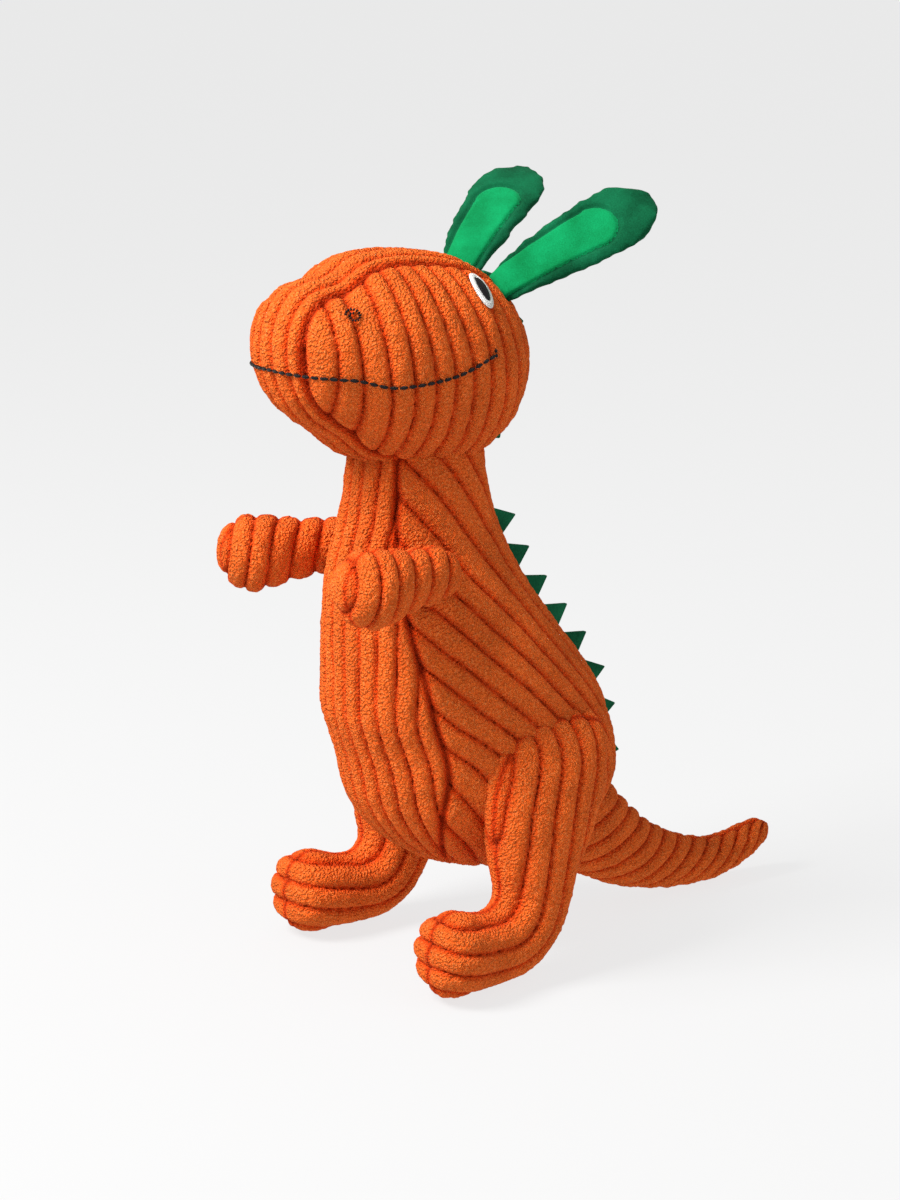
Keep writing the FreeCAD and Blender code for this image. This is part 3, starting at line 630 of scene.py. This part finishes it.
def velour(name, deep, pale, size=900):
    """Short pile that darkens where it is brushed one way and catches the light where it is brushed the other."""
    cloth = bpy.data.materials.new(name)
    cloth.use_nodes = True
    nodes, links = cloth.node_tree.nodes, cloth.node_tree.links
    shader = nodes["Principled BSDF"]
    place = nodes.new("ShaderNodeTexCoord")
    brushed = nodes.new("ShaderNodeTexNoise")
    brushed.inputs["Scale"].default_value = 70
    brushed.inputs["Detail"].default_value = 3
    grain = nodes.new("ShaderNodeTexNoise")
    grain.inputs["Scale"].default_value = size * 2
    grain.inputs["Detail"].default_value = 2
    links.new(place.outputs["Object"], brushed.inputs["Vector"])
    links.new(place.outputs["Object"], grain.inputs["Vector"])
    both = nodes.new("ShaderNodeMath")
    both.operation = "MULTIPLY_ADD"
    both.inputs[1].default_value = 0.45
    links.new(grain.outputs["Fac"], both.inputs[0])
    links.new(brushed.outputs["Fac"], both.inputs[2])
    shade = nodes.new("ShaderNodeValToRGB")
    shade.color_ramp.elements[0].position = 0.50
    shade.color_ramp.elements[0].color = (*deep, 1)
    shade.color_ramp.elements[1].position = 0.95
    shade.color_ramp.elements[1].color = (*pale, 1)
    links.new(both.outputs["Value"], shade.inputs["Fac"])
    links.new(shade.outputs["Color"], shader.inputs["Base Color"])
    bump = nodes.new("ShaderNodeBump")
    bump.inputs["Strength"].default_value = 0.5
    bump.inputs["Distance"].default_value = 0.0003
    links.new(grain.outputs["Fac"], bump.inputs["Height"])
    links.new(bump.outputs["Normal"], shader.inputs["Normal"])
    shader.inputs["Roughness"].default_value = 0.9
    shader.inputs["Specular IOR Level"].default_value = 0.06
    shader.inputs["Sheen Weight"].default_value = 0.10
    shader.inputs["Sheen Roughness"].default_value = 0.4
    shader.inputs["Sheen Tint"].default_value = (0.35, 1.0, 0.62, 1)
    return cloth


DARK_GREEN = velour("dark green velour", (0.0008, 0.042, 0.015), (0.004, 0.115, 0.045))
LIGHT_GREEN = velour("light green velour", (0.001, 0.145, 0.040), (0.003, 0.26, 0.085))


def ear_place(word):
    flop = f"ear_flop_{word}"
    across = hinge_axes[flop].normalized()
    out, rise = EAR_LEAN[word]
    along = Vector((out, math.sqrt(1 - out**2 - rise**2), rise))
    face = across.cross(along).normalized()
    return hinges[flop], along, across, face


def ear_outline(t):
    return EAR_WIDE * float(shares(EAR_FORM, t)[0, 0]) * rounding(t, 0, 0.28)


def curl(u, v):
    """How far the leaf bows: its edges curl forward and its tip leans back."""
    return 3.0 * MM * v**2 * (0.4 + 0.6 * u) - 3.0 * MM * u**2 + 0.8 * MM * math.sin(5 * u)


for word in ("left", "right"):
    origin, along, across, face = ear_place(word)
    rows = []
    for i in range(36):
        t = -0.06 + 1.055 * math.sin(math.pi / 2 * i / 35)
        wide = ear_outline(max(t, 0)) - 0.5 * MM
        thick = EAR_THICK * max(0.45, rounding(max(t, 0), 0, 0.20)) * (1 if t > 0.08 else 1.15)
        rows.append((origin + along * (EAR_LONG * t), across, face, max(wide, 0.8 * MM), max(thick * 0.9, 0.5 * MM)))
    ear = lofted(f"ear_{word}_leaf", rows, 48)
    remeshed(ear, 2.6 * MM)
    even = ear.modifiers.new("even", "SMOOTH")
    even.iterations = 8
    settled(ear)
    axes = np.array([tuple(along), tuple(across), tuple(face)])

    def ear_uv(co, origin=origin, axes=axes):
        local = (co - np.array(origin)) @ axes.T
        u = np.clip(local[:, 0] / EAR_LONG, 0, 1)
        half = np.array([max(ear_outline(x), 1 * MM) for x in u])
        return local, u, local[:, 1] / half

    def tongue_edge(co):
        """Distance inside the light panel's edge, negative outside it."""
        local, _, _ = ear_uv(co)
        reach = TONGUE * EAR_LONG
        half = 0.44 * EAR_WIDE + 0.17 * EAR_WIDE * np.clip(local[:, 0] / reach, 0, 1)
        straight = half - np.abs(local[:, 1])
        centre = reach - 0.6 * EAR_WIDE
        tip = 0.6 * EAR_WIDE - np.hypot(local[:, 0] - centre, local[:, 1])
        return np.where(local[:, 0] < centre, straight, tip)

    def ear_seams(co):
        local, _, v = ear_uv(co)
        rim = (1 - np.abs(v)) * EAR_WIDE + 1.5 * MM
        front = np.where(local[:, 2] > 0, np.abs(tongue_edge(co)), 1.0)
        return np.minimum(front, rim)

    stuffed(ear, ear_seams, 1.5 * MM, pressure=2.5)
    finely(ear)
    co, normals = points_of(ear)
    local, u, v = ear_uv(co)
    inside = tongue_edge(co)
    front = local[:, 2] > 0
    crease = np.where(front, np.exp(-((inside / (0.9 * MM)) ** 2)), 0)
    nap = roughness_of_nap(co, 14 * MM, 20) * 0.5 * MM
    co = co + normals * (nap - 1.1 * MM * crease)[:, None]
    bow = np.array([curl(a, b) for a, b in zip(u, np.clip(v, -1.2, 1.2))])
    co = co + np.array(face)[None, :] * bow[:, None]
    ear.data.vertices.foreach_set("co", co.ravel())
    ear.data.update()
    ear.data.shade_smooth()
    ear.data.materials.append(DARK_GREEN)
    ear.data.materials.append(LIGHT_GREEN)
    light = np.zeros(len(ear.data.polygons), int)
    for polygon in ear.data.polygons:
        light[polygon.index] = all(front[i] and inside[i] > 0 for i in polygon.vertices)
    ear.data.polygons.foreach_set("material_index", light)
    ear.data.update()
    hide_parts(f"ear_back_{word}", f"ear_rim_{word}", f"ear_inner_{word}", f"ear_batting_{word}")
    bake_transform(ear)

# ---------------------------------------------------------------------------
# The spikes: triangles of thick dark green felt in one row, caught in the seam
# down the back of the head and body. They ride on the part they are sewn into.
# ---------------------------------------------------------------------------
FELT_THICK = 2.5 * MM
FELT = velour("dark green felt", (0.002, 0.055, 0.022), (0.008, 0.13, 0.055), 500)
FELT.node_tree.nodes["Principled BSDF"].inputs["Sheen Weight"].default_value = 0.15
for group, count, body in (("head_spike", 4, "head"), ("back_spike", 8, "body")):
    for number in range(1, count + 1):
        node = f"{group}_{number}"
        cad = frame["nodes"][node]
        corners = {}
        for vertex in cad.data.vertices:
            corners[(round(vertex.co.y, 5), round(vertex.co.z, 5))] = vertex.co.copy()
        flat = [Vector((0, p.y, p.z)) for p in corners.values()]
        middle = sum(flat, Vector()) / len(flat)
        flat.sort(key=lambda p: math.atan2(p.z - middle.z, p.y - middle.y))
        bm = bmesh.new()
        bm.faces.new([bm.verts.new(p - Vector((FELT_THICK / 2, 0, 0))) for p in flat])
        made = bmesh.ops.extrude_face_region(bm, geom=bm.faces[:])
        risen = [v for v in made["geom"] if isinstance(v, bmesh.types.BMVert)]
        bmesh.ops.translate(bm, vec=(FELT_THICK, 0, 0), verts=risen)
        bmesh.ops.recalc_face_normals(bm, faces=bm.faces)
        bmesh.ops.bevel(bm, geom=bm.edges[:], offset=0.7 * MM, segments=3, affect="EDGES", profile=0.5, material=-1)
        mesh = bpy.data.meshes.new(f"felt_{node}")
        bm.to_mesh(mesh)
        bm.free()
        piece = bpy.data.objects.new(f"felt_{node}", mesh)
        bpy.context.scene.collection.objects.link(piece)
        mesh.shade_smooth()
        mesh.materials.append(FELT)
        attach(piece, body)
        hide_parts(node)

# ---------------------------------------------------------------------------
# The face: each eye is an oval of white satin stitch round a slit of black,
# each nostril a small spiral of black stitches, and the mouth one line of them
# round the muzzle with a tick at each end, all sewn through the finished head.
# ---------------------------------------------------------------------------
def thread(name, colour, sheen):
    """Rayon thread laid side by side: fine ridges that catch the light."""
    stitched = bpy.data.materials.new(name)
    stitched.use_nodes = True
    nodes, links = stitched.node_tree.nodes, stitched.node_tree.links
    shader = nodes["Principled BSDF"]
    strand = nodes.new("ShaderNodeAttribute")
    strand.attribute_name = "strand"
    fine = nodes.new("ShaderNodeMath")
    fine.operation = "SINE"
    links.new(strand.outputs["Fac"], fine.inputs[0])
    shade = nodes.new("ShaderNodeValToRGB")
    shade.color_ramp.elements[0].position = 0.1
    shade.color_ramp.elements[0].color = (*[c * 0.55 for c in colour], 1)
    shade.color_ramp.elements[1].position = 0.6
    shade.color_ramp.elements[1].color = (*colour, 1)
    spread = nodes.new("ShaderNodeMapRange")
    spread.inputs["From Min"].default_value = -1
    links.new(fine.outputs["Value"], spread.inputs["Value"])
    links.new(spread.outputs["Result"], shade.inputs["Fac"])
    links.new(shade.outputs["Color"], shader.inputs["Base Color"])
    bump = nodes.new("ShaderNodeBump")
    bump.inputs["Strength"].default_value = 0.6
    bump.inputs["Distance"].default_value = 0.0003
    links.new(spread.outputs["Result"], bump.inputs["Height"])
    links.new(bump.outputs["Normal"], shader.inputs["Normal"])
    shader.inputs["Roughness"].default_value = 0.42
    shader.inputs["Sheen Weight"].default_value = sheen
    return stitched


WHITE_THREAD = thread("white satin stitch", (0.82, 0.82, 0.78), 0.1)
BLACK_THREAD = thread("black satin stitch", (0.008, 0.007, 0.007), 0.0)
BLACK_THREAD.node_tree.nodes["Principled BSDF"].inputs["Specular IOR Level"].default_value = 0.2


def on_head(point, outward, lift):
    """The place on the head's surface under a point, raised by lift."""
    hit, normal, _, _ = smooth_head.ray_cast(point + outward * 40 * MM, -outward)
    return (hit + normal * lift, normal) if hit else (point, outward)


def oval_patch(name, centre, outward, tall, wide, inner_tall, inner_wide, high, material, node):
    """A ring or disc of satin stitch laid on the head, its strands running across the ring."""
    upward = (Vector((0, 0, 1)) - outward * outward.z).normalized()
    across = outward.cross(upward)
    bm = bmesh.new()
    loops = []
    steps = 8
    for k in range(steps + 1):
        share = k / steps
        a = (inner_wide + (wide - inner_wide) * share) / 2
        b = (inner_tall + (tall - inner_tall) * share) / 2
        before = len(bm.edges)
        bmesh.ops.create_circle(bm, cap_ends=False, radius=1, segments=64, matrix=Matrix.Identity(4))
        bm.verts.ensure_lookup_table()
        bm.edges.ensure_lookup_table()
        rise = high * math.sin(math.pi * min(max(share, 0.02), 0.98)) ** 0.5 if inner_wide > 0.5 * MM else (
            high * math.sqrt(max(0.0, 1 - share**2.5)))
        for vertex in bm.verts[-64:]:
            flat = centre + across * (vertex.co.x * a) + upward * (vertex.co.y * b)
            vertex.co = on_head(flat, outward, rise + 0.1 * MM)[0]
        loops.append(bm.edges[before:])
    for low_loop, high_loop in zip(loops, loops[1:]):
        bmesh.ops.bridge_loops(bm, edges=low_loop + high_loop)
    if inner_wide <= 0.5 * MM:
        bmesh.ops.edgeloop_fill(bm, edges=loops[0])
    bmesh.ops.recalc_face_normals(bm, faces=bm.faces)
    mesh = bpy.data.meshes.new(name)
    bm.to_mesh(mesh)
    bm.free()
    piece = bpy.data.objects.new(name, mesh)
    bpy.context.scene.collection.objects.link(piece)
    co, normals = points_of(piece)
    if co.shape[0] and np.mean(normals @ np.array(outward)) < 0:
        mesh.flip_normals()
    offset = co - np.array(centre)
    angle = np.arctan2(offset @ np.array(upward) / tall, offset @ np.array(across) / wide)
    strand = mesh.attributes.new("strand", "FLOAT", "POINT")
    value = angle * 60 if inner_wide > 0.5 * MM else (offset @ np.array(upward)) / MM * 14
    strand.data.foreach_set("value", value.astype(np.float32))
    mesh.shade_smooth()
    mesh.materials.append(material)
    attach(piece, "head")
    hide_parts(node)
    return piece


def head_spot(side, back, up):
    """A point on the side of the head and the way out from it."""
    centre, a, b = head_at(back)
    flat = centre + Vector((side * a * math.sqrt(1 - up**2), 0, b * up))
    outward = Vector((side * math.sqrt(1 - up**2) / a, 0, up / b)).normalized()
    return flat, outward


def stitches(bm, trail, long, wide):
    """Plump single stitches laid end to end along a trail of surface points and normals."""
    begin = trail[0]
    for here, normal in trail[1:]:
        ahead = here - begin[0]
        if ahead.length < long:
            continue
        length = ahead.length
        ahead.normalize()
        across = normal.cross(ahead).normalized()
        place = Matrix((ahead * (length / 2 - 0.15 * MM), across * wide / 2,
                        ahead.cross(across).normalized() * wide / 2)).transposed().to_4x4()
        place.translation = (here + begin[0]) / 2
        bmesh.ops.create_icosphere(bm, subdivisions=2, radius=1, matrix=place)
        begin = (here, normal)


def sewn_line(name, bm, node):
    """The finished line of black thread on the head."""
    mesh = bpy.data.meshes.new(name)
    bm.to_mesh(mesh)
    bm.free()
    line = bpy.data.objects.new(name, mesh)
    bpy.context.scene.collection.objects.link(line)
    co, _ = points_of(line)
    strand = mesh.attributes.new("strand", "FLOAT", "POINT")
    strand.data.foreach_set("value", (co.sum(1) / MM * 9).astype(np.float32))
    mesh.shade_smooth()
    mesh.materials.append(BLACK_THREAD)
    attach(line, "head")
    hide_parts(node)


for side, word in ((1, "left"), (-1, "right")):
    spot, outward = head_spot(side, 0.685, 0.72)
    oval_patch(f"eye_{word}_white", spot, outward, 17 * MM, 8.4 * MM, 9.6 * MM, 3.0 * MM, 1.1 * MM,
               WHITE_THREAD, f"eye_white_{word}")
    oval_patch(f"eye_{word}_slit", spot, outward, 12.6 * MM, 4.8 * MM, 0.3 * MM, 0.3 * MM, 1.9 * MM,
               BLACK_THREAD, f"eye_pupil_{word}")
    spot, outward = head_spot(side, 0.185, 0.60)
    upward = (Vector((0, 0, 1)) - outward * outward.z).normalized()
    sideways = outward.cross(upward)
    trail = []
    for turn in np.linspace(0.3, 2.9 * math.pi, 200):
        r = (3.3 - 0.25 * turn) * MM
        trail.append(on_head(spot + upward * (r * math.sin(turn)) + sideways * (r * math.cos(turn)), outward, 0.8 * MM))
    bm = bmesh.new()
    stitches(bm, trail, 1.1 * MM, 1.15 * MM)
    sewn_line(f"nostril_{word}_loop", bm, f"nostril_{word}")

bm = bmesh.new()
MOUTH_LINE = [(0.00, 0.045), (0.30, 0.01), (0.47, -0.075), (0.74, -0.03), (1.00, 0.12)]
MOUTH_REACH = math.radians(113)
throat = Vector((0, head_middle.y + HEAD_LONG * 0.02, 0))
trail = []
for turn in np.linspace(-MOUTH_REACH, MOUTH_REACH, 500):
    up = float(shares(MOUTH_LINE, abs(turn) / MOUTH_REACH)[0, 0])
    outward = Vector((math.sin(turn), -math.cos(turn), 0))
    flat = throat + Vector((0, 0, head_middle.z + HEAD_TALL * up)) + outward * 60 * MM
    hit, normal, _, _ = smooth_head.ray_cast(flat + outward * 60 * MM, -outward)
    trail.append((hit + normal * 0.1 * MM, normal))
stitches(bm, trail, 3.6 * MM, 1.5 * MM)
for point, normal in (trail[0], trail[-1]):
    tick = [on_head(point + Vector((0, 0, rise * MM)), normal, 0.1 * MM) for rise in np.linspace(-1.2, 2.6, 60)]
    stitches(bm, tick, 1.8 * MM, 1.3 * MM)
sewn_line("mouth_line", bm, "mouth_stitching")

# ---------------------------------------------------------------------------
# The squeaker: a thin vinyl bulb with a moulded reed, loose in the belly's
# filling. Both stay as they are in the frame and only take their finishes.
# ---------------------------------------------------------------------------
def moulded(name, colour):
    plastic = bpy.data.materials.new(name)
    plastic.use_nodes = True
    nodes, links = plastic.node_tree.nodes, plastic.node_tree.links
    shader = nodes["Principled BSDF"]
    place = nodes.new("ShaderNodeTexCoord")
    cloud = nodes.new("ShaderNodeTexNoise")
    cloud.inputs["Scale"].default_value = 260
    links.new(place.outputs["Object"], cloud.inputs["Vector"])
    shade = nodes.new("ShaderNodeValToRGB")
    shade.color_ramp.elements[0].color = (*[c * 0.86 for c in colour], 1)
    shade.color_ramp.elements[1].color = (*colour, 1)
    links.new(cloud.outputs["Fac"], shade.inputs["Fac"])
    links.new(shade.outputs["Color"], shader.inputs["Base Color"])
    shader.inputs["Roughness"].default_value = 0.45
    return plastic


for node, finish in (("squeaker_bulb", moulded("milky vinyl", (0.80, 0.80, 0.76))),
                     ("squeaker_reed", moulded("red moulded reed", (0.65, 0.05, 0.04)))):
    solid = frame["nodes"][node]
    for place in solid.material_slots:
        place.material = finish

# ---------------------------------------------------------------------------
# The studio: a pale sweep of floor, a large soft light above and to the left,
# a weaker one on the right, and a camera at the toy's left front.
# ---------------------------------------------------------------------------
floor_mesh = bpy.data.meshes.new("floor")
bm = bmesh.new()
bmesh.ops.create_grid(bm, x_segments=2, y_segments=2, size=30)
bm.to_mesh(floor_mesh)
bm.free()
floor = bpy.data.objects.new("floor", floor_mesh)
bpy.context.scene.collection.objects.link(floor)
paper = bpy.data.materials.new("pale paper")
paper.use_nodes = True
sheet = paper.node_tree.nodes["Principled BSDF"]
sheet.inputs["Base Color"].default_value = (0.11, 0.11, 0.11, 1)
sheet.inputs["Roughness"].default_value = 1.0
sheet.inputs["Specular IOR Level"].default_value = 0.0
sheet.inputs["Emission Color"].default_value = (1, 1, 1, 1)
sheet.inputs["Emission Strength"].default_value = 0.76
floor_mesh.materials.append(paper)

world = bpy.data.worlds.new("studio")
bpy.context.scene.world = world
world.use_nodes = True
sky = world.node_tree.nodes["Background"]
sky.inputs["Color"].default_value = (1, 1, 1, 1)
seen = world.node_tree.nodes.new("ShaderNodeLightPath")
level = world.node_tree.nodes.new("ShaderNodeMapRange")
level.inputs["To Min"].default_value = 0.50
level.inputs["To Max"].default_value = 0.862
world.node_tree.links.new(seen.outputs["Is Camera Ray"], level.inputs["Value"])
world.node_tree.links.new(level.outputs["Result"], sky.inputs["Strength"])

aim = Vector((0, neck.y + 16.7 * MM, 146.2 * MM))


def softbox(name, azimuth, elevation, distance, size, power):
    lamp = bpy.data.lights.new(name, "AREA")
    lamp.shape = "SQUARE"
    lamp.size = size
    lamp.energy = power
    light = bpy.data.objects.new(name, lamp)
    a, e = math.radians(azimuth), math.radians(elevation)
    away = Vector((math.sin(a) * math.cos(e), -math.cos(a) * math.cos(e), math.sin(e)))
    light.location = aim + away * distance
    light.rotation_euler = (-away).to_track_quat("-Z", "Y").to_euler()
    bpy.context.scene.collection.objects.link(light)


softbox("key", -8, 48, 1.6, 0.7, 46)
softbox("fill", 110, 30, 2.2, 1.4, 4)
bpy.context.scene.view_settings.view_transform = "Standard"

SENSOR, CAMERA_AWAY = 36, 1300     # millimetres
PIXELS_PER_MM, FRAME_TALL = 2.51, 1200
lens = bpy.data.cameras.new("camera")
lens.sensor_fit = "VERTICAL"
lens.sensor_height = SENSOR
lens.lens = SENSOR * PIXELS_PER_MM * CAMERA_AWAY / FRAME_TALL
lens.clip_start = 0.05
camera = bpy.data.objects.new("camera", lens)
a, e = math.radians(53), math.radians(13.5)
away = Vector((math.sin(a) * math.cos(e), -math.cos(a) * math.cos(e), math.sin(e)))
camera.location = aim + away * (CAMERA_AWAY * MM)
camera.rotation_euler = (-away).to_track_quat("-Z", "Y").to_euler()
bpy.context.scene.collection.objects.link(camera)
bpy.context.scene.camera = camera
